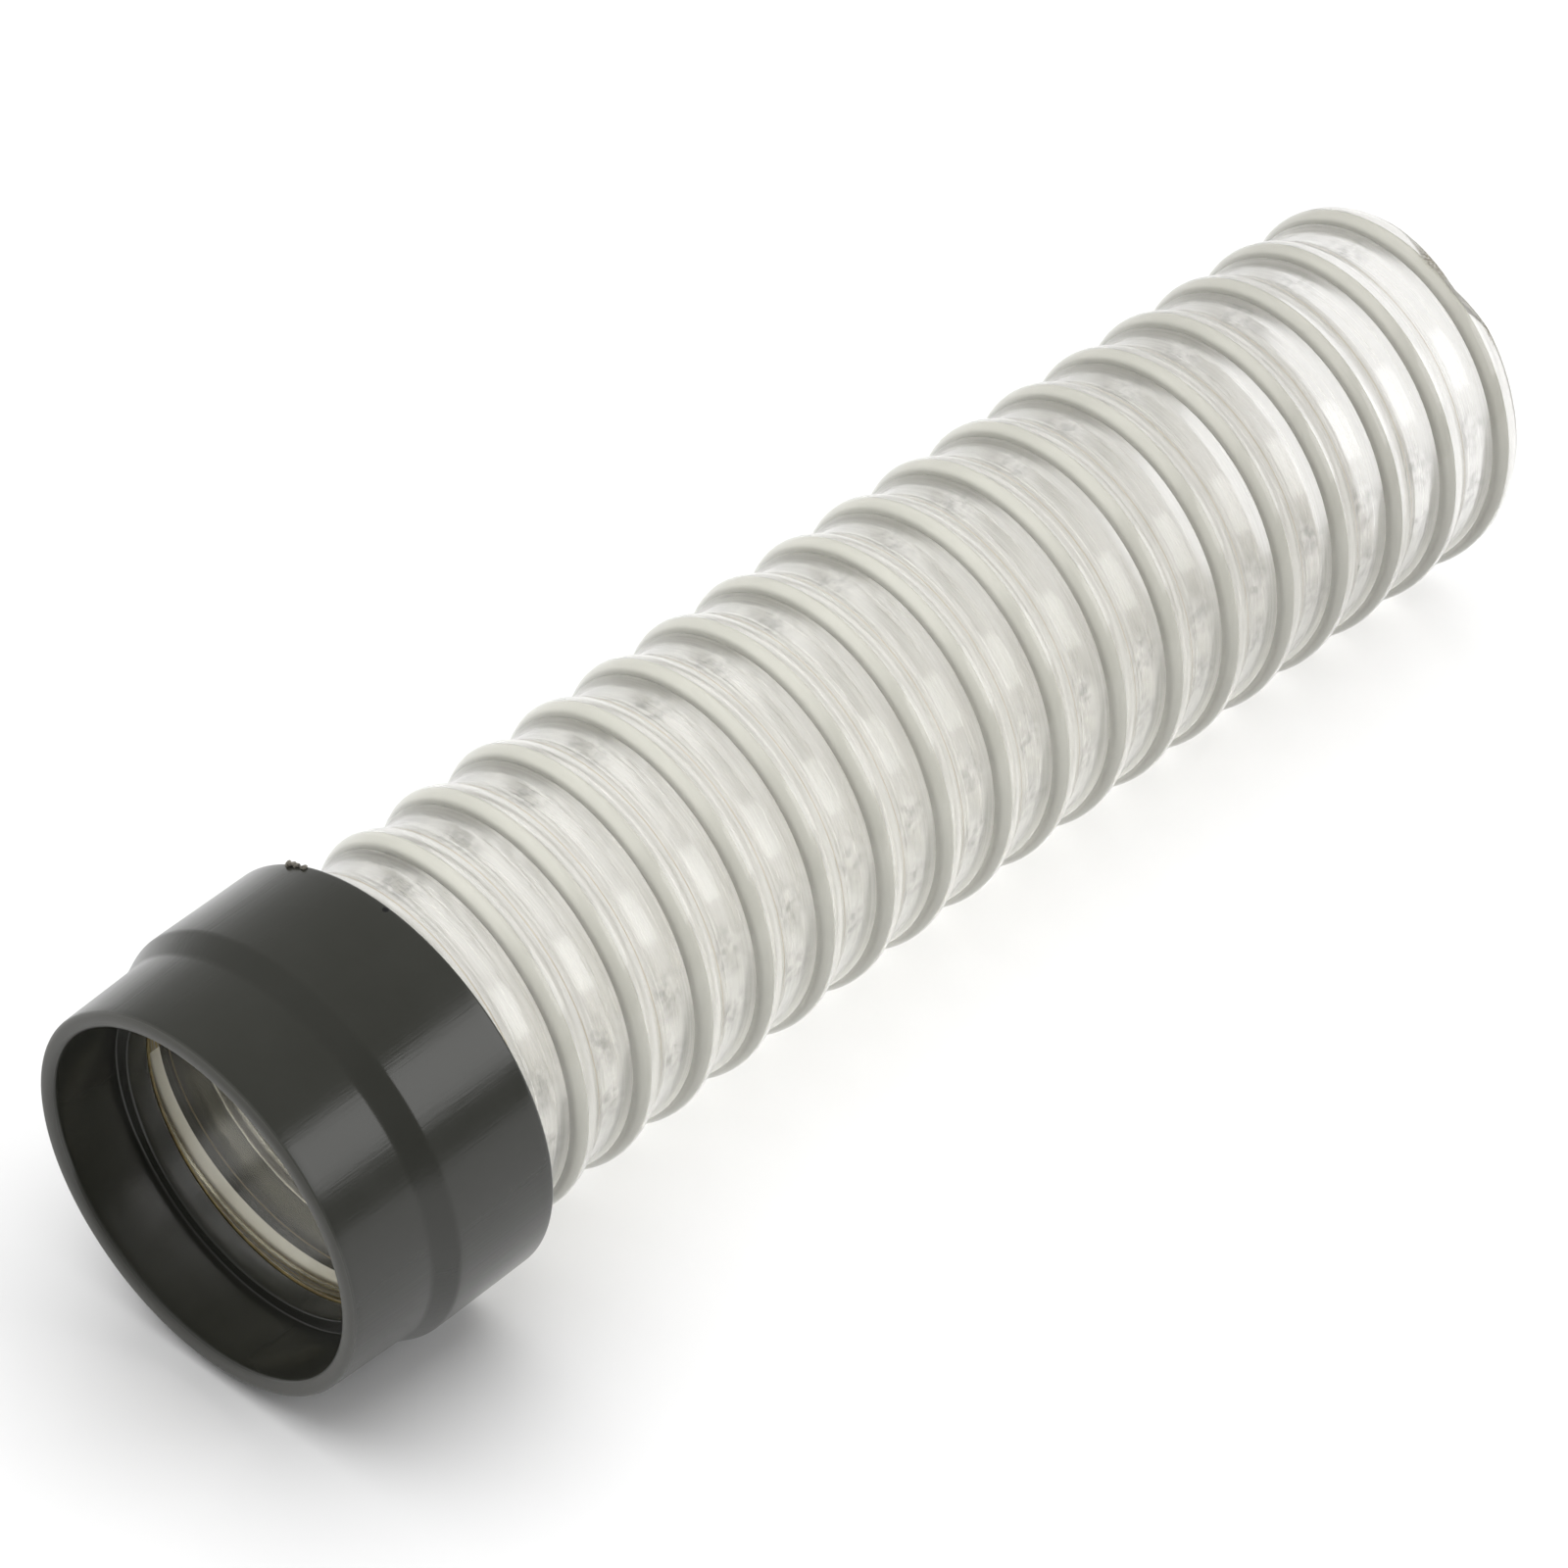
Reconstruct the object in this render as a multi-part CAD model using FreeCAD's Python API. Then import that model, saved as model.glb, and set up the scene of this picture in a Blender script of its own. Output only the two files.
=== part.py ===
import FreeCAD, Part
import math
import os

# Short clear suction hose with a moulded cuff on one end and a plain cut on the other.
# Frame: origin at the centre of the cuff's mouth, +X along the hose to the cut end, +Z up.
# All lengths are in millimetres and all angles in degrees.

# Hose wall and its coil
BORE_R = 19.0            # 38 mm bore
VALLEY_R = 19.95         # outside of the thin clear wall
CREST_R = 21.44          # outside of the rib that the coil makes
PITCH = 9.16             # one turn of the left-hand coil
FIT = 0.02               # room between pieces that lie against each other
COIL_WIDTH = 2.1         # the rigid coil's section: flat inside and outside, with round sides
COIL_X_AT_TOP = 36.53    # where one turn of the coil crosses the hose's upper side
HOSE_START = 12.1
HOSE_END = 184.4         # on the axis
END_SLANT = 4.0          # the end was cut slightly aslant
END_LONG_SIDE = 36.0     # angle about +X, from +Y, of the side where the hose is longest
COIL_END = 184.7

# Moulded cuff
MOUTH_R = 20.6           # the socket that takes a 1 1/2 in pool fitting
RIM_R = 22.56
FRONT_R = 23.0           # the front section widens to this, from the rim
REAR_R = 24.23
FRONT_LENGTH = 10.95
REAR_START = 13.36
CUFF_LENGTH = 26.9
STOP_FRONT = 8.9         # an inner shoulder stops the fitting on one side, the hose on the other
STOP_BACK = 11.75
STOP_R = 18.9
HOSE_POCKET_R = 21.56
EDGE_ROUND = 0.45
LIP_ROUND = 0.9
SOCKET_END_ROUND = 0.3

# Bending: the hose is cut into short rigid lengths at hinges 1 1/4 turns apart
HINGE_STEP = 1.25 * PITCH
HINGE_COUNT = 13
FIRST_HINGE_ANGLE = 270.0    # the coil crosses the first hinge's axis on the underside
COIL_END_GAP = 0.25          # half the room between two lengths of coil at a hinge
SIDE_BOW = -0.25             # turn about +Z at each sideways hinge as the hose lies
DROOP = 0.32                 # turn about +Y at each up and down hinge as the hose lies

X_AXIS = FreeCAD.Vector(1, 0, 0)
Y_AXIS = FreeCAD.Vector(0, 1, 0)
Z_AXIS = FreeCAD.Vector(0, 0, 1)


def coil_x(angle):
    """The coil's place along a straight hose where it crosses an angle about +X from +Y."""
    return COIL_X_AT_TOP + PITCH * (90.0 - angle) / 360.0


def hinge_x(index):
    """Hinges are numbered from 1, and the first is the first crossing behind the cuff."""
    first = coil_x(FIRST_HINGE_ANGLE)
    return first + (index - 1) * HINGE_STEP


def hinge_is_sideways(index):
    return index % 2 == 1


def hinge_turn(index):
    return SIDE_BOW if hinge_is_sideways(index) else DROOP


def hinge_axis(index):
    return Z_AXIS if hinge_is_sideways(index) else Y_AXIS


def rest_placement(index):
    """Where a length of hose lies at rest, from its place on a straight hose."""
    placement = FreeCAD.Placement()
    for hinge in range(1, index + 1):
        centre = FreeCAD.Vector(hinge_x(hinge), 0, 0)
        turn = FreeCAD.Rotation(hinge_axis(hinge), hinge_turn(hinge))
        placement = placement.multiply(FreeCAD.Placement(FreeCAD.Vector(), turn, centre))
    return placement


def revolve(edges):
    """A ring about +X from its half section, drawn as (x, radius) in the XY plane."""
    face = Part.Face(Part.Wire(Part.__sortEdges__(edges)))
    return face.revolve(FreeCAD.Vector(), X_AXIS, 360)


def line(a, b):
    return Part.makeLine(FreeCAD.Vector(a[0], a[1], 0), FreeCAD.Vector(b[0], b[1], 0))


def arc(a, middle, b):
    ends = [FreeCAD.Vector(p[0], p[1], 0) for p in (a, middle, b)]
    return Part.Arc(*ends).toShape()


def corner(centre, radius, start, end):
    """A quarter round, from one angle to another about its centre."""
    angles = (start, (start + end) / 2.0, end)
    points = []
    for angle in angles:
        a = math.radians(angle)
        points.append((centre[0] + radius * math.cos(a), centre[1] + radius * math.sin(a)))
    return points


def make_cuff():
    """Stepped cuff: tapered front section, short cone, straight rear section, inner stop."""
    rim = corner((EDGE_ROUND, RIM_R - EDGE_ROUND), EDGE_ROUND, 180, 90)
    rear = corner((CUFF_LENGTH - EDGE_ROUND, REAR_R - EDGE_ROUND), EDGE_ROUND, 90, 0)
    pocket = corner((CUFF_LENGTH - EDGE_ROUND, HOSE_POCKET_R + EDGE_ROUND), EDGE_ROUND, 0, -90)
    stop = corner((STOP_FRONT + SOCKET_END_ROUND, STOP_R + SOCKET_END_ROUND), SOCKET_END_ROUND, 270, 180)
    lip = corner((LIP_ROUND, MOUTH_R + LIP_ROUND), LIP_ROUND, 270, 180)
    edges = [
        arc(*rim),
        line(rim[-1], (FRONT_LENGTH, FRONT_R)),
        line((FRONT_LENGTH, FRONT_R), (REAR_START, REAR_R)),
        line((REAR_START, REAR_R), rear[0]),
        arc(*rear),
        line(rear[-1], pocket[0]),
        arc(*pocket),
        line(pocket[-1], (STOP_BACK, HOSE_POCKET_R)),
        line((STOP_BACK, HOSE_POCKET_R), (STOP_BACK, STOP_R)),
        line((STOP_BACK, STOP_R), stop[0]),
        arc(*stop),
        line(stop[-1], (STOP_FRONT, MOUTH_R)),
        line((STOP_FRONT, MOUTH_R), lip[0]),
        arc(*lip),
        line(lip[-1], rim[0]),
    ]
    return revolve(edges)


def make_cement():
    """The ring of set solvent cement between the stop and the hose's end."""
    outer = HOSE_POCKET_R - FIT
    corners = [(STOP_BACK, BORE_R), (STOP_BACK, outer), (HOSE_START, outer), (HOSE_START, BORE_R)]
    edges = [line(corners[i], corners[(i + 1) % 4]) for i in range(4)]
    return revolve(edges)


def coil_section():
    """Flat inside and outside with round sides, in the plane where the sweep starts."""
    low = VALLEY_R + FIT
    middle = (low + CREST_R) / 2.0
    flat = (COIL_WIDTH - (CREST_R - low)) / 2.0
    side = COIL_WIDTH / 2.0
    inner_a = FreeCAD.Vector(low, 0, -flat)
    inner_b = FreeCAD.Vector(low, 0, flat)
    side_b = FreeCAD.Vector(middle, 0, side)
    outer_b = FreeCAD.Vector(CREST_R, 0, flat)
    outer_a = FreeCAD.Vector(CREST_R, 0, -flat)
    side_a = FreeCAD.Vector(middle, 0, -side)
    edges = [
        Part.makeLine(inner_a, inner_b),
        Part.Arc(inner_b, side_b, outer_b).toShape(),
        Part.makeLine(outer_b, outer_a),
        Part.Arc(outer_a, side_a, inner_a).toShape(),
    ]
    return Part.Wire(Part.__sortEdges__(edges))


def coil_span(index):
    """The first and last place of one length of coil, less its end gaps."""
    gap = PITCH * COIL_END_GAP / (2.0 * math.pi * CREST_R)
    start = HOSE_START + COIL_WIDTH / 2.0 if index == 0 else hinge_x(index) + gap
    end = COIL_END if index == HINGE_COUNT else hinge_x(index + 1) - gap
    return start, end


def make_coil(index):
    """One length of the left-hand coil, swept along its helix on a straight hose."""
    start, end = coil_span(index)
    helix = Part.makeHelix(PITCH, end - start, CREST_R, 0.0, True)
    coil = Part.Wire(helix.Edges).makePipeShell([coil_section()], True, True)
    start_angle = 90.0 - 360.0 * (start - coil_x(90.0)) / PITCH
    along_x = FreeCAD.Rotation(FreeCAD.Vector(1, 1, 1), 120)
    spin = FreeCAD.Rotation(X_AXIS, start_angle)
    coil.Placement = FreeCAD.Placement(FreeCAD.Vector(start, 0, 0), spin * along_x)
    return coil


def wall_span(index):
    start = HOSE_START if index == 0 else hinge_x(index)
    end = HOSE_END if index == HINGE_COUNT else hinge_x(index + 1)
    return start, end


def end_cutter(x, side, hinge):
    """Everything beyond one end of a length, its face turned half of the hinge's rest turn."""
    reach = 3.0 * CREST_R
    cutter = Part.makeBox(reach, 2.0 * reach, 2.0 * reach, FreeCAD.Vector(0, -reach, -reach))
    if side < 0:
        cutter.translate(FreeCAD.Vector(-reach, 0, 0))
    if 1 <= hinge <= HINGE_COUNT:
        cutter.rotate(FreeCAD.Vector(), hinge_axis(hinge), side * hinge_turn(hinge) / 2.0)
    if hinge > HINGE_COUNT:
        across = math.radians(END_LONG_SIDE - 90.0)
        cutter.rotate(FreeCAD.Vector(), FreeCAD.Vector(0, math.cos(across), math.sin(across)), END_SLANT)
    cutter.translate(FreeCAD.Vector(x, 0, 0))
    return cutter


def make_wall(index):
    """One length of the thin clear tube on a straight hose."""
    start, end = wall_span(index)
    over = BORE_R
    foot = FreeCAD.Vector(start - over, 0, 0)
    length = end - start + 2.0 * over
    tube = Part.makeCylinder(VALLEY_R, length, foot, X_AXIS)
    tube = tube.cut(Part.makeCylinder(BORE_R, length, foot, X_AXIS))
    tube = tube.cut(end_cutter(start, -1, index))
    return tube.cut(end_cutter(end, 1, index + 1))


def write(shape, name):
    shape.exportStep("parts/%s.step" % name)
    print(name, "valid", shape.isValid(), "solids", len(shape.Solids), "volume", round(shape.Volume, 2))


os.makedirs("parts", exist_ok=True)
write(make_cuff(), "cuff")
write(make_cement(), "cement_ring")
for i in range(HINGE_COUNT + 1):
    placement = rest_placement(i)
    for shape, name in ((make_wall(i), "hose_wall_%02d" % i), (make_coil(i), "coil_%02d" % i)):
        shape.Placement = placement.multiply(shape.Placement)
        write(shape, name)
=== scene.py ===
import math
import random

import bmesh
import bpy
import numpy as np
from mathutils import Matrix, Vector


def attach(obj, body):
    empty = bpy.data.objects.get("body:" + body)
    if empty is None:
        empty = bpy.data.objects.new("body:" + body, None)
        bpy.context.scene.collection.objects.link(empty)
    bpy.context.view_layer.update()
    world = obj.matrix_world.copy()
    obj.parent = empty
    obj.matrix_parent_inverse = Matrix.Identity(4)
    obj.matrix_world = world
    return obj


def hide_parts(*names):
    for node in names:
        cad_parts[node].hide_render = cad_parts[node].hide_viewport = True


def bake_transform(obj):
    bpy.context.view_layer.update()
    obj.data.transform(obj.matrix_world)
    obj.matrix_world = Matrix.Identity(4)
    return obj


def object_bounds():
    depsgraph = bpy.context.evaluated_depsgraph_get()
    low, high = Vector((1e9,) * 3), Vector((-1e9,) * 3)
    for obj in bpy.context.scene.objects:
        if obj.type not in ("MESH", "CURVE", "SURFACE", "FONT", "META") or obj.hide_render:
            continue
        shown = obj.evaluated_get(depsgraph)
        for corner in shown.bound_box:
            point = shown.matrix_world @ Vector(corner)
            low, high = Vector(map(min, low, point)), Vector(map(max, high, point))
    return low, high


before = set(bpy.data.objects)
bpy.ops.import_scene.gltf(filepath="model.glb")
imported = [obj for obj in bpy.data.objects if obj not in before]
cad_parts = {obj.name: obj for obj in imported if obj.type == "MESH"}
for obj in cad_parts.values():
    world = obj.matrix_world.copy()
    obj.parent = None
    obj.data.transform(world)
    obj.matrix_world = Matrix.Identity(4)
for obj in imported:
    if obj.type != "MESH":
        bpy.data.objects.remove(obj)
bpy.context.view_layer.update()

# The hose in millimetres, as in the CAD model. x runs along the straight hose from the cuff's
# mouth, and angles are in degrees about +X, from +Y towards +Z.
BORE_R = 19.0
VALLEY_R = 19.95
CREST_R = 21.44
PITCH = 9.16
COIL_X_AT_TOP = 36.53
HOSE_START = 12.1
HOSE_END = 184.4
HINGE_STEP = 1.25 * PITCH
HINGE_COUNT = 13
FIRST_HINGE_X = COIL_X_AT_TOP - PITCH / 2.0
CUFF_LENGTH = 26.9
STOP_BACK = 11.75
POCKET_R = 21.56
CUFF_REAR_R = 24.2
CRUMBS_X = 26.4           # where crumbs of flash stand on the cuff's rear edge
CRUMBS_ANGLE = 64.0
CRUMB_COUNT = 11

# The hand-cut far end
END_REACH = 1.4           # the slanted cut runs this far each way along the hose
END_LONG_SIDE = 36.0      # angle where the hose is longest
NICK_SIDE = 117.0         # angle where two cuts met in a nick
NICK_X = 183.1
NICK_SLOPE = 0.075        # millimetres along the hose per degree away from the nick

# How the hose lies: from the cuff's back it curves down to the floor and a little sideways.
BEND_START = 26.9
END_SIDE = -2.557
END_DROP = -2.806

# Finer shape of the wall and the coil in it
CREST_AHEAD = 0.4         # the rib's top lies this much further from the cuff than the coil
RISE = 3.3                # half width of the rib on the cuff's side
FALL = 3.9                # and on the far side
RIB_FULLNESS = 0.75
BORE_SWELL = 0.10         # the bore widens this much under a rib
COIL_MID_R = 20.15
COIL_WIDTH = 1.75
COIL_THICK = 1.35
COIL_END = 184.6
FREE_START = CUFF_LENGTH + 1.6    # where the first piece, which doesn't bend, ends
CROWDING = 1.7            # the first turns are pushed this far into the cuff
DARK_REFLECTION_SPOTS = (0.227, 0.443, 0.503)   # painted grey reflections in every valley, in turns about +X
COIL_START_TURN = -2.12   # just before the coil's first whole turn, counted by turns_at
MM = 0.001

BODIES = ["cuff_end"] + ["length_%02d" % i for i in range(1, HINGE_COUNT + 1)]


# ---------------------------------------------------------------- places along the hose

def axis_point(x):
    """Points of the hose's axis, and its two cross directions, for places x along it."""
    x = np.asarray(x, float)
    length = HOSE_END - BEND_START
    run = np.clip(x - BEND_START, 0.0, None)
    share = (run / length) ** 2
    slope = 2.0 * run / length ** 2
    centre = np.stack([x, END_SIDE * share, END_DROP * share], -1)
    along = np.stack([np.ones_like(x), END_SIDE * slope, END_DROP * slope], -1)
    along /= np.linalg.norm(along, axis=-1, keepdims=True)
    across = np.cross(np.array([0.0, 0.0, 1.0]), along)
    across /= np.linalg.norm(across, axis=-1, keepdims=True)
    return centre, across, np.cross(along, across)


def hose_point(x, radius, angle):
    """Points in metres at a place along the hose, a radius and an angle in radians."""
    centre, across, up = axis_point(x)
    cosine, sine = np.cos(angle)[..., None], np.sin(angle)[..., None]
    return MM * (centre + np.asarray(radius)[..., None] * (cosine * across + sine * up))


def hinge_x(index):
    return FIRST_HINGE_X + (index - 1) * HINGE_STEP


def joint_break(index):
    """Where the pieces before and after a body's middle meet, from body 0 to the last."""
    if index == 0:
        return FREE_START
    if index == HINGE_COUNT:
        return (hinge_x(index) + HOSE_END) / 2.0
    return (hinge_x(index) + hinge_x(index + 1)) / 2.0


def crowded(x):
    """How far the first turns are pushed along inside the cuff."""
    depth = np.clip((BEND_START - np.asarray(x, float)) / (BEND_START - HOSE_START), 0.0, None)
    return CROWDING * depth ** 2


def turns_at(x, angle):
    """Turns of the rib's top counted at a place on the wall: whole numbers are on the top."""
    top = COIL_X_AT_TOP + CREST_AHEAD
    return (x - crowded(x) - top) / PITCH + (angle - math.pi / 2.0) / (2.0 * math.pi)


def rib_height(x, angle):
    """0 in the valley between ribs to 1 on a rib's top."""
    turns = turns_at(x, angle)
    off = (turns - np.round(turns)) * PITCH
    reach = np.where(off < 0.0, RISE, FALL)
    bell = 0.5 + 0.5 * np.cos(math.pi * np.minimum(np.abs(off) / reach, 1.0))
    return bell ** RIB_FULLNESS


def outer_radius(x, angle):
    return VALLEY_R + (CREST_R - VALLEY_R) * rib_height(x, angle)


def inner_radius(x, angle):
    return BORE_R + BORE_SWELL * rib_height(x, angle)


# ---------------------------------------------------------------- mesh helpers

def make_object(name, vertices, faces, uvs, material_of_face, materials, normals=None):
    mesh = bpy.data.meshes.new(name)
    mesh.from_pydata([tuple(v) for v in vertices], [], [tuple(f) for f in faces])
    layer = mesh.uv_layers.new(name="wound")
    layer.data.foreach_set("uv", np.asarray(uvs, np.float32).ravel())
    for material in materials:
        mesh.materials.append(material)
    mesh.polygons.foreach_set("material_index", np.asarray(material_of_face, np.int32))
    mesh.polygons.foreach_set("use_smooth", np.ones(len(faces), bool))
    mesh.update()
    if normals is not None:
        mesh.normals_split_custom_set_from_vertices([tuple(n) for n in normals])
    made = bpy.data.objects.new(name, mesh)
    bpy.context.scene.collection.objects.link(made)
    return made


def grid_faces(rows, columns, first=0, flip=False):
    """Quads of a grid that closes round its columns, and each corner's (row, column)."""
    r, c = np.meshgrid(np.arange(rows - 1), np.arange(columns), indexing="ij")
    r, c = r.ravel(), c.ravel()
    n = (c + 1) % columns
    corners = [(r, c, c), (r, n, c + 1), (r + 1, n, c + 1), (r + 1, c, c)]
    if flip:
        corners = corners[::-1]
    faces = np.stack([first + row * columns + column for row, column, _ in corners], -1)
    places = np.stack([np.stack([row, unwrapped], -1) for row, _, unwrapped in corners], 1)
    return faces, places


# ---------------------------------------------------------------- the clear wall

WALL_COLUMNS = 144
WALL_ROW_STEP = 0.31


def cut_end(angle):
    """The far end was cut by hand, a little aslant, with a nick where two cuts met on the rib."""
    slant = HOSE_END + END_REACH * np.cos(angle - math.radians(END_LONG_SIDE))
    wander = 0.10 * np.sin(5.0 * angle + 1.0) + 0.06 * np.sin(11.0 * angle)
    from_nick = (np.degrees(angle) - NICK_SIDE + 180.0) % 360.0 - 180.0
    nick = NICK_X + NICK_SLOPE * np.abs(from_nick)
    return np.minimum(slant + wander, nick)


def wall_places(start, end, angle):
    """Rows of x from one end of a piece to the other; end may be the hand-cut one."""
    finish = cut_end(angle) if end is None else np.full_like(angle, end)
    last = finish.mean()
    rows = max(3, int(round((last - start) / WALL_ROW_STEP)) + 1)
    share = np.linspace(0.0, 1.0, rows)[:, None]
    return start + share * (finish[None, :] - start), rows


def wall_surface(places, angle, radius_at):
    """Points and true normals of the wall's outer or inner surface over a grid."""
    angles = np.broadcast_to(angle, places.shape)
    step = 0.02
    points = hose_point(places, radius_at(places, angles), angles)
    along = hose_point(places + step, radius_at(places + step, angles), angles)
    turned = angles + step / BORE_R
    around = hose_point(places, radius_at(places, turned), turned)
    normals = np.cross(around - points, along - points)
    normals /= np.linalg.norm(normals, axis=-1, keepdims=True)
    return points, normals


def make_wall(name, start, end, materials):
    """One piece of the clear wall: outer and inner surfaces, closed by a ring at each end."""
    angle = np.linspace(0.0, 2.0 * math.pi, WALL_COLUMNS, endpoint=False)
    places, rows = wall_places(start, end, angle)
    outer, outer_normals = wall_surface(places, angle, outer_radius)
    inner, inner_normals = wall_surface(places, angle, inner_radius)
    count = rows * WALL_COLUMNS
    outer_faces, where = grid_faces(rows, WALL_COLUMNS, 0, False)
    inner_faces, _ = grid_faces(rows, WALL_COLUMNS, count, True)
    unwrapped = np.linspace(0.0, 2.0 * math.pi, WALL_COLUMNS + 1)
    grid_turns = turns_at(np.concatenate([places, places[:, :1]], 1), unwrapped[None, :])
    grid_around = np.broadcast_to(unwrapped / (2.0 * math.pi), grid_turns.shape)
    row, column = where[..., 0], where[..., 1]
    outer_uv = np.stack([grid_around[row, column], grid_turns[row, column]], -1)
    inner_uv = outer_uv[:, ::-1]
    ring = np.arange(WALL_COLUMNS)
    after = (ring + 1) % WALL_COLUMNS
    caps, cap_uv = [], []
    for end_row, flip in ((0, True), (rows - 1, False)):
        a, b = end_row * WALL_COLUMNS + ring, end_row * WALL_COLUMNS + after
        quad = np.stack([a, b, b + count, a + count], -1)
        around = np.stack([ring, ring + 1, ring + 1, ring], -1) / WALL_COLUMNS
        here, next_to = grid_turns[end_row, ring], grid_turns[end_row, ring + 1]
        turns = np.stack([here, next_to, next_to, here], -1)
        corner_uv = np.stack([around, turns], -1)
        caps.append(quad[:, ::-1] if flip else quad)
        cap_uv.append(corner_uv[:, ::-1] if flip else corner_uv)
    vertices = np.concatenate([outer.reshape(-1, 3), inner.reshape(-1, 3)])
    normals = np.concatenate([outer_normals.reshape(-1, 3), -inner_normals.reshape(-1, 3)])
    faces = np.concatenate([outer_faces, inner_faces, caps[0], caps[1]])
    uvs = np.concatenate([outer_uv, inner_uv, cap_uv[0], cap_uv[1]])
    outside, inside, hidden, cut = 0, 1, 2, 3
    start_kind = cut if start == HOSE_START else hidden
    end_kind = cut if end is None else hidden
    kinds = np.concatenate([
        np.full(len(outer_faces), outside), np.full(len(inner_faces), inside),
        np.full(WALL_COLUMNS, start_kind), np.full(WALL_COLUMNS, end_kind)])
    return make_object(name, vertices, faces, uvs, kinds, materials, normals)


# ---------------------------------------------------------------- the coil

COIL_STEPS_PER_TURN = 120
COIL_SIDES = 20


def coil_angle(x):
    """The coil's angle, in radians, at a place along the hose: it is left-handed."""
    return math.pi / 2.0 - (x - crowded(x) - COIL_X_AT_TOP) * 2.0 * math.pi / PITCH


def coil_section():
    """Offsets (along, out) of the coil's section, a flat oval."""
    a = np.linspace(0.0, 2.0 * math.pi, COIL_SIDES, endpoint=False)
    cosine, sine = np.cos(a), np.sin(a)
    square = 0.72
    along = np.sign(cosine) * np.abs(cosine) ** square * COIL_WIDTH / 2.0
    out = np.sign(sine) * np.abs(sine) ** square * COIL_THICK / 2.0
    return along, out


def section_normals(along, out):
    """Outward directions (along, out) of the coil's closed section at each of its points."""
    forward = np.stack([np.roll(along, -1) - np.roll(along, 1), np.roll(out, -1) - np.roll(out, 1)], -1)
    forward /= np.linalg.norm(forward, axis=-1, keepdims=True)
    return forward[:, 1], -forward[:, 0]


def make_coil(name, start, end, material):
    steps = max(8, int(round((end - start) / PITCH * COIL_STEPS_PER_TURN))) + 1
    middle = np.linspace(start, end, steps)
    angle = coil_angle(middle)
    along, out = coil_section()
    places = middle[:, None] + along[None, :]
    radii = COIL_MID_R + np.broadcast_to(out[None, :], places.shape)
    points = hose_point(places, radii, np.broadcast_to(angle[:, None], places.shape))
    centre, across, up = axis_point(middle)
    outward = np.cos(angle)[:, None] * across + np.sin(angle)[:, None] * up
    forward = np.cross(across, up)
    lengthwise, outwards = section_normals(along, out)
    normals = lengthwise[None, :, None] * forward[:, None, :]
    normals = normals + outwards[None, :, None] * outward[:, None, :]
    faces, where = grid_faces(steps, COIL_SIDES, 0, True)
    length = (middle - COIL_X_AT_TOP) / PITCH
    uvs = np.stack([where[..., 1] / COIL_SIDES, length[where[..., 0]]], -1)
    first = np.arange(COIL_SIDES)[None, :]
    last = first[:, ::-1] + (steps - 1) * COIL_SIDES
    face_list = [tuple(f) for f in faces] + [tuple(first[0]), tuple(last[0])]
    end_uv = np.zeros((COIL_SIDES, 2))
    uv_list = np.concatenate([uvs.reshape(-1, 2), end_uv, end_uv])
    kinds = np.zeros(len(face_list))
    points, normals = points.reshape(-1, 3), normals.reshape(-1, 3)
    return make_object(name, points, face_list, uv_list, kinds, [material], normals)


# ---------------------------------------------------------------- lathe work: cuff and cement

def rounded(corners, steps=7):
    """An outline (x, radius) with each corner (x, radius, fillet) rounded to its fillet."""
    outline = []
    count = len(corners)
    for i in range(count):
        x, r, fillet = corners[i]
        here = np.array([x, r])
        before = np.array(corners[i - 1][:2]) - here
        after = np.array(corners[(i + 1) % count][:2]) - here
        if fillet <= 0.0:
            outline.append(here)
            continue
        u, v = before / np.linalg.norm(before), after / np.linalg.norm(after)
        half = 0.5 * math.acos(np.clip(u @ v, -1.0, 1.0))
        reach = fillet / math.tan(half)
        centre = here + (u + v) / np.linalg.norm(u + v) * fillet / math.sin(half)
        a, b = here + u * reach - centre, here + v * reach - centre
        turn = math.acos(np.clip(a @ b / (fillet * fillet), -1.0, 1.0))
        for t in np.linspace(0.0, 1.0, steps):
            mixed = (math.sin((1 - t) * turn) * a + math.sin(t * turn) * b) / math.sin(turn)
            outline.append(centre + mixed)
    return np.array(outline)


def subdivided(outline, longest):
    """The closed outline with its long stretches divided."""
    points = []
    for a, b in zip(outline, np.roll(outline, -1, 0)):
        pieces = max(1, int(math.ceil(np.linalg.norm(b - a) / longest)))
        for k in range(pieces):
            points.append(a + (b - a) * k / pieces)
    return np.array(points)


def make_ring(name, outline, columns, material, shaping):
    """Turns a closed outline about the hose's straight axis; shaping moves its points."""
    rows = len(outline)
    angle = np.linspace(0.0, 2.0 * math.pi, columns, endpoint=False)
    x = np.repeat(outline[:, :1], columns, 1)
    r = np.repeat(outline[:, 1:], columns, 1)
    a = np.broadcast_to(angle[None, :], x.shape)
    x, r = shaping(x, r, a)
    points = MM * np.stack([x, r * np.cos(a), r * np.sin(a)], -1)
    row, column = np.meshgrid(np.arange(rows), np.arange(columns), indexing="ij")
    row, column = row.ravel(), column.ravel()
    below, beside = (row + 1) % rows, (column + 1) % columns
    faces = np.stack([row * columns + column, below * columns + column,
                      below * columns + beside, row * columns + beside], -1)
    u = np.stack([column, column, column + 1, column + 1], -1) / columns
    v = np.stack([row, row + 1, row + 1, row], -1) / rows
    uvs = np.stack([u, v], -1)
    return make_object(name, points.reshape(-1, 3), faces, uvs, np.zeros(len(faces)), [material])


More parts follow.
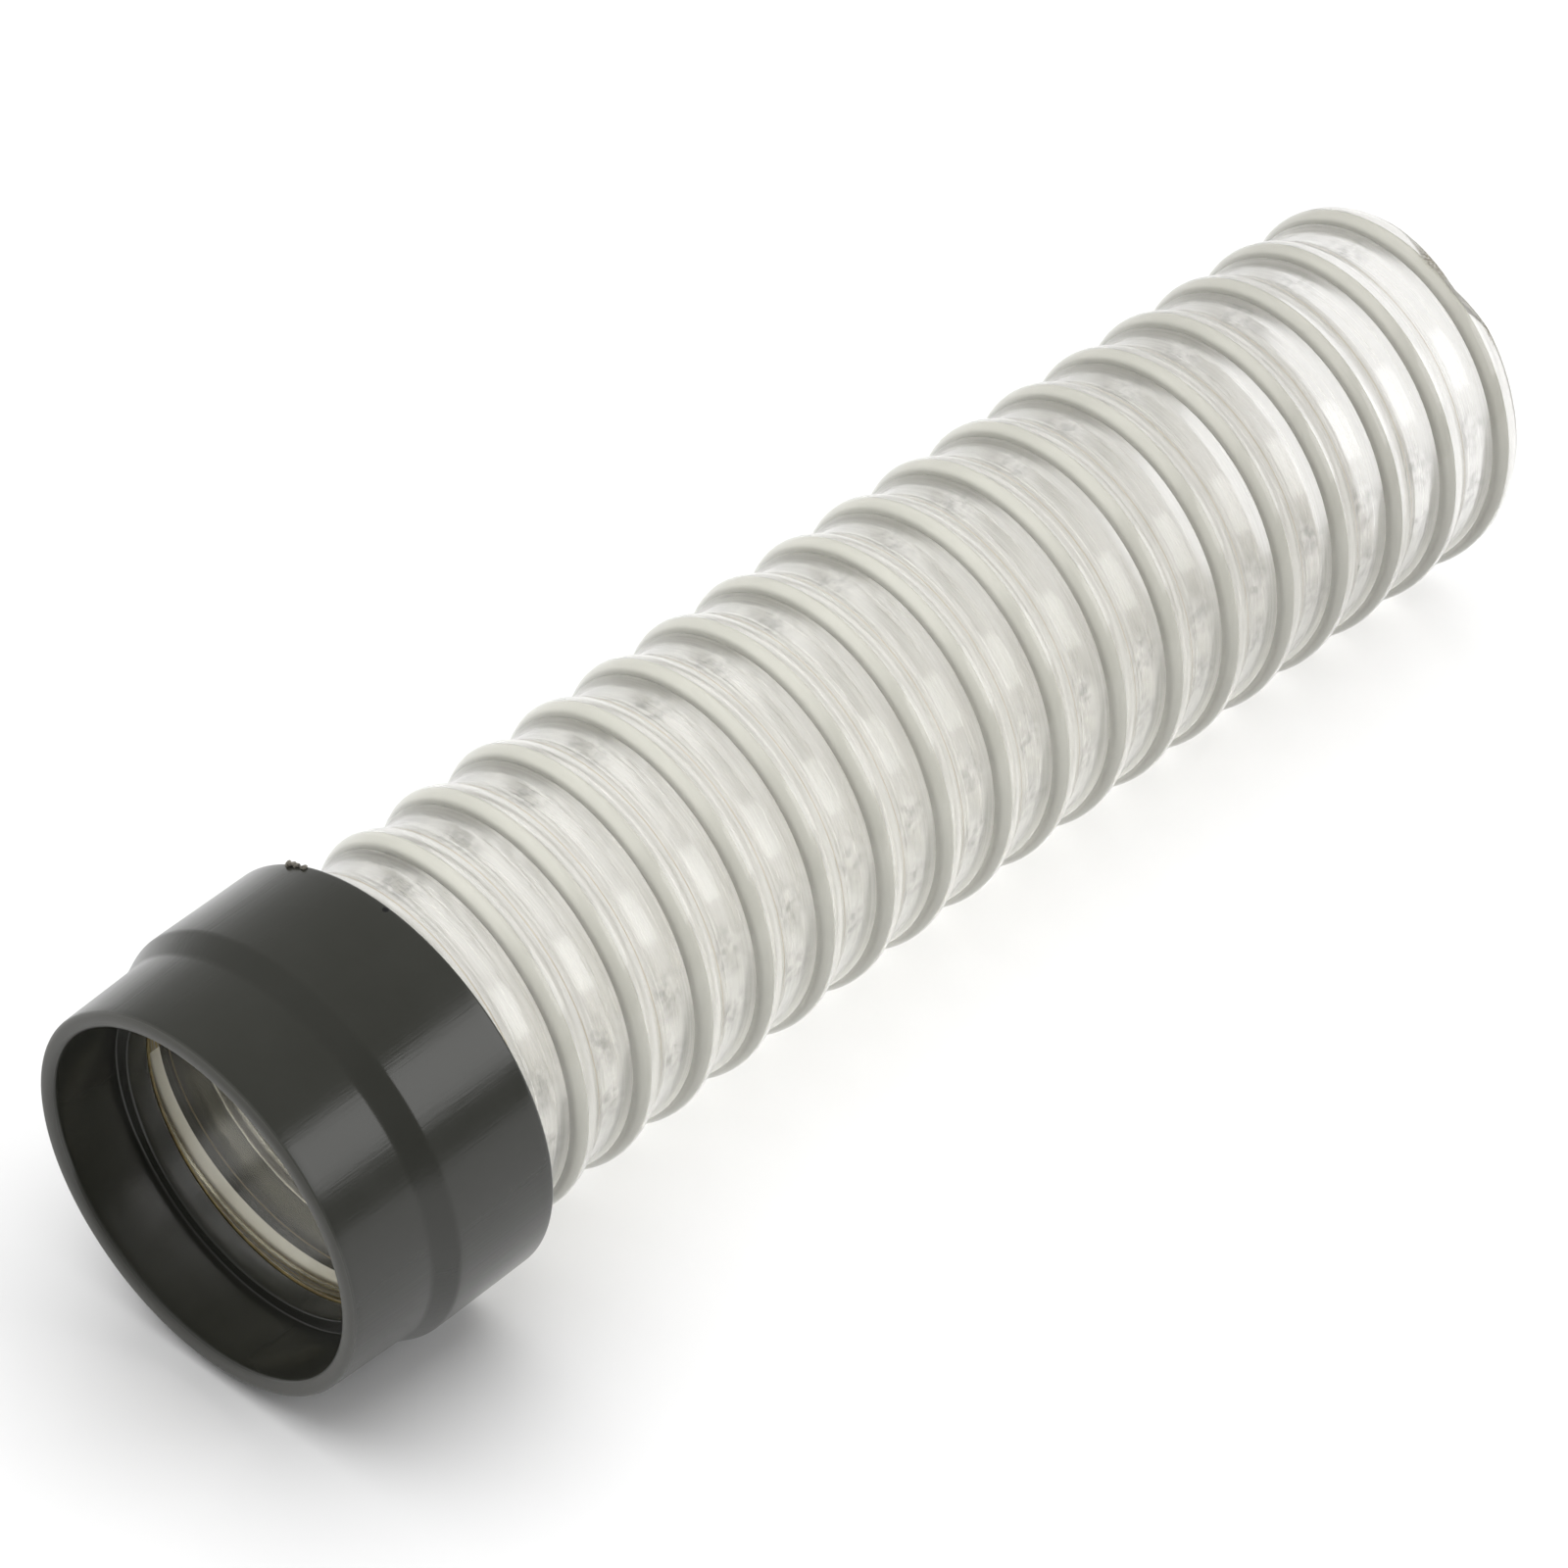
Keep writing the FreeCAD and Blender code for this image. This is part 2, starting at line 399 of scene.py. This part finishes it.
def make_cuff(material):
    """The moulded cuff: rounded rim, tapered front, soft cone, straight rear, inner stop."""
    corners = [
        (0.0, 22.56, 0.75), (10.75, 22.98, 2.2), (13.5, CUFF_REAR_R, 1.6),
        (CUFF_LENGTH, CUFF_REAR_R, 0.5),
        (CUFF_LENGTH, POCKET_R, 0.35), (STOP_BACK, POCKET_R, 0.0), (STOP_BACK, 18.9, 0.3),
        (8.9, 18.9, 0.3), (8.9, 20.6, 0.25), (0.0, 20.6, 1.1),
    ]
    outline = subdivided(rounded(corners), 0.9)

    def shaping(x, r, a):
        ripple = 0.020 * np.sin(2.0 * a + 0.6) + 0.012 * np.sin(5.0 * a + 1.9)
        return x, r + ripple * np.clip(x / CUFF_LENGTH, 0.0, 1.0)

    return make_ring("moulded_cuff", outline[::-1], 256, material, shaping)


def make_crumbs(material):
    """Crumbs of moulding flash left standing on the cuff's rear edge."""
    source = random.Random(7)
    vertices, faces = [], []
    for i in range(CRUMB_COUNT):
        lump = bmesh.new()
        bmesh.ops.create_icosphere(lump, subdivisions=2, radius=source.uniform(0.16, 0.36))
        angle = math.radians(CRUMBS_ANGLE + source.uniform(-3.3, 3.3))
        height = CUFF_REAR_R + source.uniform(-0.05, 0.32)
        x = CRUMBS_X + source.uniform(-0.25, 0.15)
        centre = np.array([x, height * math.cos(angle), height * math.sin(angle)])
        first = len(vertices)
        for vertex in lump.verts:
            dents = 0.22 * math.sin(9.0 * vertex.co.x + i)
            shape = 1.0 + dents + 0.2 * math.sin(11.0 * vertex.co.z + 2.0 * i)
            vertices.append(MM * (centre + shape * np.array(vertex.co)))
        faces += [tuple(first + v.index for v in face.verts) for face in lump.faces]
        lump.free()
    uvs = np.zeros((3 * len(faces), 2))
    return make_object("flash_crumbs", vertices, faces, uvs, np.zeros(len(faces)), [material])


def make_cement(material):
    """Set cement: a bead at the hose's end and a thin uneven film between hose and pocket."""
    outline = subdivided(rounded([
        (STOP_BACK + 0.02, 18.93, 0.1), (STOP_BACK + 0.02, POCKET_R - 0.03, 0.0),
        (13.9, POCKET_R - 0.03, 0.0), (13.9, 21.49, 0.0), (12.06, 21.49, 0.0), (12.04, 18.98, 0.0),
        (12.0, 18.93, 0.05)]), 0.5)

    def shaping(x, r, a):
        run = 0.5 * np.sin(3.0 * a + 1.0) + 0.3 * np.sin(7.0 * a) + 0.2 * np.sin(13.0 * a + 2.0)
        return x + np.where(x > 13.0, 0.8 * run, 0.0), r

    return make_ring("cement_bead", outline[::-1], 192, material, shaping)


# ---------------------------------------------------------------- materials

def new_material(name):
    material = bpy.data.materials.new(name)
    material.use_nodes = True
    nodes, links = material.node_tree.nodes, material.node_tree.links
    nodes.clear()
    output = nodes.new("ShaderNodeOutputMaterial")
    return material, nodes, links, output


def noise(nodes, links, vector, scale, detail=3.0, roughness=0.55):
    node = nodes.new("ShaderNodeTexNoise")
    node.inputs["Scale"].default_value = scale
    node.inputs["Detail"].default_value = detail
    node.inputs["Roughness"].default_value = roughness
    links.new(vector, node.inputs["Vector"])
    return node.outputs["Fac"]


def ramp(nodes, links, factor, stops):
    node = nodes.new("ShaderNodeValToRGB")
    elements = node.color_ramp.elements
    while len(elements) < len(stops):
        elements.new(0.5)
    for element, (place, colour) in zip(elements, stops):
        element.position = place
        element.color = (*colour, 1.0) if isinstance(colour, tuple) else (colour, colour, colour, 1.0)
    links.new(factor, node.inputs["Fac"])
    return node.outputs["Color"]


def math_node(nodes, links, kind, a, b=None):
    node = nodes.new("ShaderNodeMath")
    node.operation = kind
    for socket, value in ((node.inputs[0], a), (node.inputs[1], b)):
        if value is None:
            continue
        if isinstance(value, (int, float)):
            socket.default_value = value
        else:
            links.new(value, socket)
    return node.outputs[0]


def parts(nodes, links, vector):
    """A vector's X, Y and Z."""
    node = nodes.new("ShaderNodeSeparateXYZ")
    links.new(vector, node.inputs[0])
    return node.outputs["X"], node.outputs["Y"], node.outputs["Z"]


def stretched(nodes, links, source, scale):
    node = nodes.new("ShaderNodeMapping")
    node.inputs["Scale"].default_value = scale
    links.new(source, node.inputs["Vector"])
    return node.outputs["Vector"]


def bump(nodes, links, height, strength, distance, normal=None):
    node = nodes.new("ShaderNodeBump")
    node.inputs["Strength"].default_value = strength
    node.inputs["Distance"].default_value = distance
    links.new(height, node.inputs["Height"])
    if normal is not None:
        links.new(normal, node.inputs["Normal"])
    return node.outputs["Normal"]


def cuff_material():
    """Dark grey PVC with the fine lines along the hose that the mould left."""
    material, nodes, links, output = new_material("moulded_grey_pvc")
    place = nodes.new("ShaderNodeTexCoord").outputs["Object"]
    lines = noise(nodes, links, stretched(nodes, links, place, (0.05, 1.0, 1.0)), 2600.0, 3.0)
    grain = noise(nodes, links, place, 3000.0, 2.0)
    patchy = noise(nodes, links, place, 70.0, 5.0)
    shader = nodes.new("ShaderNodeBsdfPrincipled")
    colour = ramp(nodes, links, patchy, [(0.3, (0.023, 0.0235, 0.0185)), (0.7, (0.028, 0.0285, 0.0235))])
    # Painted light: the rim face, the first 0.8 mm from the mouth, is given a lighter colour that stands
    # in for light falling on it. The same mask also makes the rim rougher.
    depth = math_node(nodes, links, "MULTIPLY", parts(nodes, links, place)[0], 1.0 / MM)
    rim_light_and_matt = ramp(nodes, links, depth, [(0.0, 1.0), (0.35, 0.8), (0.8, 0.0)])
    colour_with_painted_rim_light = mix_colour(nodes, links, rim_light_and_matt, colour, (0.075, 0.075, 0.067))
    # Painted shade: a near-black spot on the rear stands in for the shadow inside a pit. No dent is
    # modelled.
    from_pit = nodes.new("ShaderNodeVectorMath")
    from_pit.operation = "DISTANCE"
    links.new(place, from_pit.inputs[0])
    from_pit.inputs[1].default_value = (0.0263, -0.0021, 0.0241)
    pit_shade = ramp(nodes, links, math_node(nodes, links, "MULTIPLY", from_pit.outputs["Value"], 1.0 / MM),
               [(0.25, 1.0), (0.42, 0.0)])
    links.new(mix_colour(nodes, links, pit_shade, colour_with_painted_rim_light, (0.002, 0.002, 0.002)), shader.inputs["Base Color"])
    gloss = ramp(nodes, links, patchy, [(0.3, 0.17), (0.7, 0.24)])
    matt = math_node(nodes, links, "MULTIPLY", rim_light_and_matt, 0.5)
    links.new(math_node(nodes, links, "MAXIMUM", gloss, matt), shader.inputs["Roughness"])
    relief = bump(nodes, links, lines, 1.0, 0.000013)
    links.new(bump(nodes, links, grain, 1.0, 0.000003, relief), shader.inputs["Normal"])
    links.new(shader.outputs[0], output.inputs["Surface"])
    return material


def crumb_material():
    material, nodes, links, output = new_material("dusty_flash")
    place = nodes.new("ShaderNodeTexCoord").outputs["Object"]
    shader = nodes.new("ShaderNodeBsdfPrincipled")
    grit = noise(nodes, links, place, 4000.0, 3.0)
    links.new(ramp(nodes, links, grit, [(0.35, (0.05, 0.045, 0.04)), (0.65, (0.26, 0.24, 0.20))]),
              shader.inputs["Base Color"])
    shader.inputs["Roughness"].default_value = 0.7
    links.new(shader.outputs[0], output.inputs["Surface"])
    return material


def wound_place(nodes, links):
    """Around the hose (0 to 1 each turn) and across the wound strip (0 at a rib's top)."""
    wound = nodes.new("ShaderNodeUVMap")
    wound.uv_map = "wound"
    return wound.outputs[0], parts(nodes, links, wound.outputs[0])[1]


def inside_cuff(nodes, links, wound, depth):
    """1 where the wound wall lies nearer the mouth than a depth in millimetres, else 0."""
    around, across, _ = parts(nodes, links, wound)
    turns = math_node(nodes, links, "SUBTRACT", across, around)
    limit = (depth - COIL_X_AT_TOP - CREST_AHEAD) / PITCH - 0.25
    wander = noise(nodes, links, stretched(nodes, links, wound, (9.0, 0.0, 1.0)), 1.0, 3.0)
    edge = math_node(nodes, links, "MULTIPLY", wander, 0.12)
    room = math_node(nodes, links, "SUBTRACT", math_node(nodes, links, "ADD", edge, limit - 0.06), turns)
    return ramp(nodes, links, math_node(nodes, links, "MULTIPLY", room, 20.0), [(0.0, 0.0), (1.0, 1.0)])


def mix_colour(nodes, links, factor, a, b):
    node = nodes.new("ShaderNodeMix")
    node.data_type = "RGBA"
    links.new(factor, node.inputs["Factor"])
    for socket, colour in ((node.inputs[6], a), (node.inputs[7], b)):
        if isinstance(colour, tuple):
            socket.default_value = (*colour, 1.0)
        else:
            links.new(colour, socket)
    return node.outputs[2]


def smear(nodes, links, wound, centre, size, breakup):
    """A soft-edged patch of the wound wall, broken up by noise: 1 in its middle, 0 outside."""
    shifted = nodes.new("ShaderNodeMapping")
    shifted.vector_type = "TEXTURE"
    shifted.inputs["Location"].default_value = (*centre, 0.0)
    shifted.inputs["Scale"].default_value = (*size, 1.0)
    links.new(wound, shifted.inputs["Vector"])
    length = nodes.new("ShaderNodeVectorMath")
    length.operation = "LENGTH"
    links.new(shifted.outputs["Vector"], length.inputs[0])
    inside = ramp(nodes, links, length.outputs["Value"], [(0.0, 1.0), (0.4, 0.8), (1.0, 0.0)])
    return math_node(nodes, links, "MULTIPLY", inside, breakup)


def specks(nodes, links, wound):
    """Tiny dark grains of dirt, one on some stretches of the strip."""
    cells = nodes.new("ShaderNodeTexVoronoi")
    cells.inputs["Scale"].default_value = 1.0
    links.new(stretched(nodes, links, wound, (9.0, 0.62, 1.0)), cells.inputs["Vector"])
    return ramp(nodes, links, cells.outputs["Distance"], [(0.0, 1.0), (0.007, 1.0), (0.012, 0.0)])


def let_light_through(nodes, links, surface, share):
    """Shadow rays pass the clear wall, which real light passes too."""
    through = nodes.new("ShaderNodeMixShader")
    is_shadow = nodes.new("ShaderNodeLightPath").outputs["Is Shadow Ray"]
    links.new(math_node(nodes, links, "MULTIPLY", is_shadow, share), through.inputs[0])
    links.new(surface, through.inputs[1])
    links.new(nodes.new("ShaderNodeBsdfTransparent").outputs[0], through.inputs[2])
    return through.outputs[0]


def outer_wall_material():
    """Clear glossy skin with fine drawn lines along the strip and a brownish welded seam."""
    material, nodes, links, output = new_material("clear_flexible_pvc")
    wound, across = wound_place(nodes, links)
    streaks = noise(nodes, links, stretched(nodes, links, wound, (4.0, 40.0, 1.0)), 1.0, 5.0, 0.65)
    ripple = noise(nodes, links, stretched(nodes, links, wound, (14.0, 5.0, 1.0)), 1.0, 2.0)
    shader = nodes.new("ShaderNodeBsdfPrincipled")
    shader.inputs["IOR"].default_value = 1.5
    shader.inputs["Transmission Weight"].default_value = 1.0
    # Painted shade: the wall's base colour darkens towards the far end (turns 8 to 14), holding it as
    # dark as the middle of the hose.
    far_end_painted_shade = ramp(nodes, links, math_node(nodes, links, "DIVIDE", across, 20.0),
                 [(0.40, (0.975, 0.968, 0.945)), (0.70, (0.80, 0.79, 0.775))])
    links.new(far_end_painted_shade, shader.inputs["Base Color"])
    links.new(ramp(nodes, links, streaks, [(0.35, 0.12), (0.75, 0.2)]), shader.inputs["Roughness"])
    relief = bump(nodes, links, streaks, 1.0, 0.0000005)
    links.new(bump(nodes, links, ripple, 1.0, 0.000015, relief), shader.inputs["Normal"])
    seam_place = math_node(nodes, links, "FRACT", math_node(nodes, links, "ADD", across, 0.5))
    seam = ramp(nodes, links, seam_place, [
        (0.0, 0.0), (0.741, 0.0), (0.750, 1.0), (0.754, 1.0), (0.763, 0.0)])
    weld = nodes.new("ShaderNodeBsdfDiffuse")
    weld.inputs["Color"].default_value = (0.42, 0.34, 0.22, 1.0)
    lined = nodes.new("ShaderNodeMixShader")
    links.new(math_node(nodes, links, "MULTIPLY", seam, 0.85), lined.inputs[0])
    links.new(shader.outputs[0], lined.inputs[1])
    links.new(weld.outputs[0], lined.inputs[2])
    crumbs = noise(nodes, links, stretched(nodes, links, wound, (420.0, 26.0, 1.0)), 1.0, 4.0)
    breakup = ramp(nodes, links, crumbs, [(0.42, 0.0), (0.60, 1.0)])
    upper = smear(nodes, links, wound, (0.294, 16.07), (0.022, 0.14), breakup)
    lower = smear(nodes, links, wound, (0.365, 16.17), (0.030, 0.07), breakup)
    valley = math_node(nodes, links, "FRACT", across)
    in_turn = nodes.new("ShaderNodeCombineXYZ")
    links.new(parts(nodes, links, wound)[0], in_turn.inputs["X"])
    links.new(valley, in_turn.inputs["Y"])
    cloud = noise(nodes, links, stretched(nodes, links, wound, (90.0, 7.0, 1.0)), 1.0, 3.0)
    cloudy = ramp(nodes, links, cloud, [(0.40, 0.0), (0.68, 1.0)])
    # Painted reflection: grey spots in every valley stand in for dark reflections of the surroundings.
    reflection_mask = None
    for u in DARK_REFLECTION_SPOTS:
        spot = smear(nodes, links, in_turn.outputs[0], (u, 0.48), (0.030, 0.30), cloudy)
        reflection_mask = spot if reflection_mask is None else math_node(nodes, links, "MAXIMUM", reflection_mask, spot)
    reflection_grey = nodes.new("ShaderNodeBsdfDiffuse")
    reflection_grey.inputs["Color"].default_value = (0.25, 0.25, 0.24, 1.0)
    with_painted_reflections = nodes.new("ShaderNodeMixShader")
    links.new(math_node(nodes, links, "MULTIPLY", reflection_mask, 0.5), with_painted_reflections.inputs[0])
    links.new(lined.outputs[0], with_painted_reflections.inputs[1])
    links.new(reflection_grey.outputs[0], with_painted_reflections.inputs[2])
    dirt = math_node(nodes, links, "MAXIMUM", math_node(nodes, links, "MAXIMUM", upper, lower),
                     specks(nodes, links, wound))
    grime = nodes.new("ShaderNodeBsdfDiffuse")
    grime.inputs["Color"].default_value = (0.15, 0.12, 0.07, 1.0)
    soiled = nodes.new("ShaderNodeMixShader")
    links.new(math_node(nodes, links, "MULTIPLY", dirt, 0.75), soiled.inputs[0])
    links.new(with_painted_reflections.outputs[0], soiled.inputs[1])
    links.new(grime.outputs[0], soiled.inputs[2])
    clear = let_light_through(nodes, links, soiled.outputs[0], 0.95)
    links.new(clear, output.inputs["Surface"])
    return material


def inner_wall_material():
    """The bore's side of the clear wall, matt enough to blur what lies behind it."""
    material, nodes, links, output = new_material("clear_pvc_bore")
    wound, across = wound_place(nodes, links)
    streaks = noise(nodes, links, stretched(nodes, links, wound, (3.0, 24.0, 1.0)), 1.0, 5.0, 0.65)
    shader = nodes.new("ShaderNodeBsdfPrincipled")
    shader.inputs["IOR"].default_value = 1.5
    shader.inputs["Transmission Weight"].default_value = 1.0
    links.new(mix_colour(nodes, links, inside_cuff(nodes, links, wound, CUFF_LENGTH - 0.4),
                         (0.975, 0.968, 0.945), (0.74, 0.70, 0.52)), shader.inputs["Base Color"])
    links.new(ramp(nodes, links, streaks, [(0.3, 0.12), (0.75, 0.26)]), shader.inputs["Roughness"])
    links.new(bump(nodes, links, streaks, 1.0, 0.0000013), shader.inputs["Normal"])
    haze = nodes.new("ShaderNodeBsdfTranslucent")
    in_cuff = inside_cuff(nodes, links, wound, CUFF_LENGTH - 0.4)
    before_coil = ramp(nodes, links, math_node(nodes, links, "MULTIPLY", math_node(
        nodes, links, "SUBTRACT", COIL_START_TURN, across), 12.0), [(0.0, 0.0), (1.0, 1.0)])
    in_cement = math_node(nodes, links, "MULTIPLY", before_coil, inside_cuff(nodes, links, wound, 16.5))
    lines = noise(nodes, links, stretched(nodes, links, wound, (2.0, 34.0, 1.0)), 1.0, 3.0)
    gold = ramp(nodes, links, lines, [(0.38, (0.12, 0.085, 0.025)), (0.62, (0.46, 0.37, 0.17))])
    # Painted shade: inside the cuff the haze colour is made dark, standing in for the shade that the
    # cuff casts behind the wall.
    haze_with_painted_cuff_shade = mix_colour(nodes, links, in_cuff, (0.98, 0.975, 0.955), (0.12, 0.11, 0.06))
    links.new(mix_colour(nodes, links, in_cement, haze_with_painted_cuff_shade, gold), haze.inputs["Color"])
    mixed = nodes.new("ShaderNodeMixShader")
    share = ramp(nodes, links, streaks, [(0.4, 0.24), (0.8, 0.36)])
    clearer = math_node(nodes, links, "MULTIPLY", in_cuff, 0.75)
    outside = math_node(nodes, links, "SUBTRACT", 1.0, clearer)
    share = math_node(nodes, links, "MULTIPLY", share, outside)
    cemented = math_node(nodes, links, "MULTIPLY", in_cement, 0.6)
    links.new(math_node(nodes, links, "MAXIMUM", share, cemented), mixed.inputs[0])
    links.new(shader.outputs[0], mixed.inputs[1])
    links.new(haze.outputs[0], mixed.inputs[2])
    clear = let_light_through(nodes, links, mixed.outputs[0], 0.95)
    links.new(clear, output.inputs["Surface"])
    return material


def cut_face_material():
    """The knife left the ends of the clear wall matt and pale, with dirt in places."""
    material, nodes, links, output = new_material("cut_clear_pvc")
    wound, _ = wound_place(nodes, links)
    marks = noise(nodes, links, stretched(nodes, links, wound, (60.0, 0.0, 1.0)), 1.0, 4.0)
    tint = ramp(nodes, links, marks, [
        (0.3, (0.70, 0.69, 0.64)), (0.55, (0.82, 0.81, 0.77)), (0.75, (0.52, 0.47, 0.36))])
    pale = nodes.new("ShaderNodeBsdfDiffuse")
    glow = nodes.new("ShaderNodeBsdfTranslucent")
    links.new(tint, pale.inputs["Color"])
    links.new(tint, glow.inputs["Color"])
    mixed = nodes.new("ShaderNodeMixShader")
    links.new(pale.outputs[0], mixed.inputs[1])
    links.new(glow.outputs[0], mixed.inputs[2])
    links.new(mixed.outputs[0], output.inputs["Surface"])
    return material


def hidden_material():
    """The unseen rings where one piece of the same clear wall runs on into the next."""
    material, nodes, links, output = new_material("within_the_wall")
    links.new(nodes.new("ShaderNodeBsdfTransparent").outputs[0], output.inputs["Surface"])
    return material


def coil_material():
    material, nodes, links, output = new_material("rigid_off_white_pvc")
    wound, turns = wound_place(nodes, links)
    along = noise(nodes, links, stretched(nodes, links, wound, (6.0, 9.0, 1.0)), 1.0, 4.0)
    shader = nodes.new("ShaderNodeBsdfPrincipled")
    aged = ramp(nodes, links, along, [(0.3, (0.500, 0.498, 0.452)), (0.7, (0.540, 0.537, 0.490))])
    # Painted light: the coil turns inside the cuff, past turn -1, are made near white, standing in for
    # light falling on them through the mouth.
    into_cuff = math_node(nodes, links, "SUBTRACT", -1.0, turns)
    painted_light_in_cuff = ramp(nodes, links, into_cuff, [(0.0, 0.0), (0.1, 1.0)])
    links.new(mix_colour(nodes, links, painted_light_in_cuff, aged, (0.90, 0.90, 0.92)), shader.inputs["Base Color"])
    shader.inputs["Roughness"].default_value = 0.6
    shader.inputs["Specular IOR Level"].default_value = 0.1
    links.new(shader.outputs[0], output.inputs["Surface"])
    return material


def cement_material():
    material, nodes, links, output = new_material("amber_solvent_cement")
    place = nodes.new("ShaderNodeTexCoord").outputs["Object"]
    cloud = noise(nodes, links, place, 500.0, 4.0)
    shader = nodes.new("ShaderNodeBsdfPrincipled")
    links.new(ramp(nodes, links, cloud, [(0.3, (0.10, 0.07, 0.025)), (0.7, (0.26, 0.20, 0.08))]),
              shader.inputs["Base Color"])
    shader.inputs["Roughness"].default_value = 0.2
    links.new(bump(nodes, links, cloud, 0.4, 0.0002), shader.inputs["Normal"])
    links.new(shader.outputs[0], output.inputs["Surface"])
    return material


# ---------------------------------------------------------------- the object

def build():
    cuff = make_cuff(cuff_material())
    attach(cuff, "cuff_end")
    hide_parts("cuff")
    crumbs = make_crumbs(crumb_material())
    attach(crumbs, "cuff_end")
    cement = make_cement(cement_material())
    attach(cement, "cuff_end")
    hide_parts("cement_ring")
    walls = [outer_wall_material(), inner_wall_material(), hidden_material(), cut_face_material()]
    rigid = coil_material()
    breaks = [joint_break(i) for i in range(HINGE_COUNT + 1)]
    starts = [HOSE_START] + breaks
    ends = breaks + [None]
    for i, (start, end) in enumerate(zip(starts, ends)):
        wall = make_wall("clear_wall_%02d" % i, start, end, walls)
        coil_start = HOSE_START + 0.2 if i == 0 else start
        coil_end = COIL_END if end is None else end
        coil = make_coil("white_coil_%02d" % i, coil_start, coil_end, rigid)
        roles = ((wall, "hose_wall_%02d", "clear_wall"), (coil, "coil_%02d", "coil_pvc"))
        for piece, kind, slot_name in roles:
            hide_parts(kind % min(i, HINGE_COUNT))
            if i == 0 or end is None:
                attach(piece, BODIES[min(i, HINGE_COUNT)])
            else:
                ride_start = Vector(MM * axis_point(start)[0])
                ride_end = Vector(MM * axis_point(end)[0])
                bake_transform(piece)


# ---------------------------------------------------------------- floor, lights and camera

def make_floor():
    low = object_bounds()[0].z
    size = 3.0
    mesh = bpy.data.meshes.new("floor")
    corners = [(-size, -size, low), (size, -size, low), (size, size, low), (-size, size, low)]
    mesh.from_pydata(corners, [], [(0, 1, 2, 3)])
    floor = bpy.data.objects.new("floor", mesh)
    bpy.context.scene.collection.objects.link(floor)
    material, nodes, links, output = new_material("pale_floor")
    shader = nodes.new("ShaderNodeBsdfPrincipled")
    place = nodes.new("ShaderNodeTexCoord").outputs["Object"]
    links.new(ramp(nodes, links, noise(nodes, links, place, 4.0), [(0.0, 0.86), (1.0, 0.90)]),
              shader.inputs["Base Color"])
    shader.inputs["Roughness"].default_value = 0.9
    shader.inputs["Specular IOR Level"].default_value = 0.1
    links.new(shader.outputs[0], output.inputs["Surface"])
    mesh.materials.append(material)


SOFTBOX_AIM = Vector((0.09, 0.0, 0.0))


def make_softbox(name, direction, distance, size, brightness, in_reflections=True):
    """An area light facing the hose, its height along the way round the hose's axis."""
    light = bpy.data.lights.new(name, "AREA")
    light.shape = "RECTANGLE"
    light.size, light.size_y = size
    light.energy = brightness * math.pi * size[0] * size[1]
    lamp = bpy.data.objects.new(name, light)
    back = Vector(direction).normalized()
    up = Vector((1.0, 0.0, 0.0)).cross(back).normalized()
    side = up.cross(back)
    lamp.matrix_world = Matrix((side, up, back)).transposed().to_4x4()
    lamp.location = SOFTBOX_AIM + back * distance
    lamp.visible_glossy = in_reflections
    bpy.context.scene.collection.objects.link(lamp)


def make_world():
    """A studio: its brightness changes with the angle round the hose's axis."""
    world = bpy.data.worlds.new("studio")
    world.use_nodes = True
    nodes, links = world.node_tree.nodes, world.node_tree.links
    _, sideways, upward = parts(nodes, links, nodes.new("ShaderNodeTexCoord").outputs["Generated"])
    turn = math_node(nodes, links, "ARCTAN2", upward, sideways)
    share = math_node(nodes, links, "FRACT", math_node(nodes, links, "DIVIDE", turn, 2.0 * math.pi))
    brightness = ramp(nodes, links, share, [
        (0.0, 0.95), (0.04, 0.62), (0.10, 0.50), (0.16, 0.42), (0.26, 0.33), (0.40, 0.28),
        (0.46, 0.20), (0.51, 0.26), (0.56, 0.9), (0.62, 1.1)])
    background = nodes["Background"]
    links.new(brightness, background.inputs["Color"])
    background.inputs["Strength"].default_value = 1.0
    bpy.context.scene.world = world


CAMERA_AIM = (0.0858, -0.0008, 0.0)
CAMERA_BEARING = 47.17       # degrees from +Y towards +X that the camera looks along
CAMERA_ELEVATION = 42.65
CAMERA_DISTANCE = 0.7244
CAMERA_LENS = 156.4


def make_camera():
    data = bpy.data.cameras.new("camera")
    data.lens = CAMERA_LENS
    data.sensor_width = 36.0
    data.clip_start, data.clip_end = 0.01, 20.0
    camera = bpy.data.objects.new("camera", data)
    bearing, elevation = math.radians(CAMERA_BEARING), math.radians(CAMERA_ELEVATION)
    look = Vector((math.sin(bearing) * math.cos(elevation), math.cos(bearing) * math.cos(elevation),
                   -math.sin(elevation)))
    camera.location = Vector(CAMERA_AIM) - look * CAMERA_DISTANCE
    camera.rotation_mode = "QUATERNION"
    camera.rotation_quaternion = look.to_track_quat("-Z", "Y")
    bpy.context.scene.collection.objects.link(camera)
    bpy.context.scene.camera = camera


make_camera()
build()
make_floor()
make_world()
make_softbox("key_softbox", (0.539, -0.672, 0.507), 0.9, (0.80, 0.48), 2.4)
make_softbox("ceiling_softbox", (0.0, 0.15, 1.0), 1.1, (1.6, 1.6), 2.05, False)
bpy.context.scene.view_settings.view_transform = "Standard"
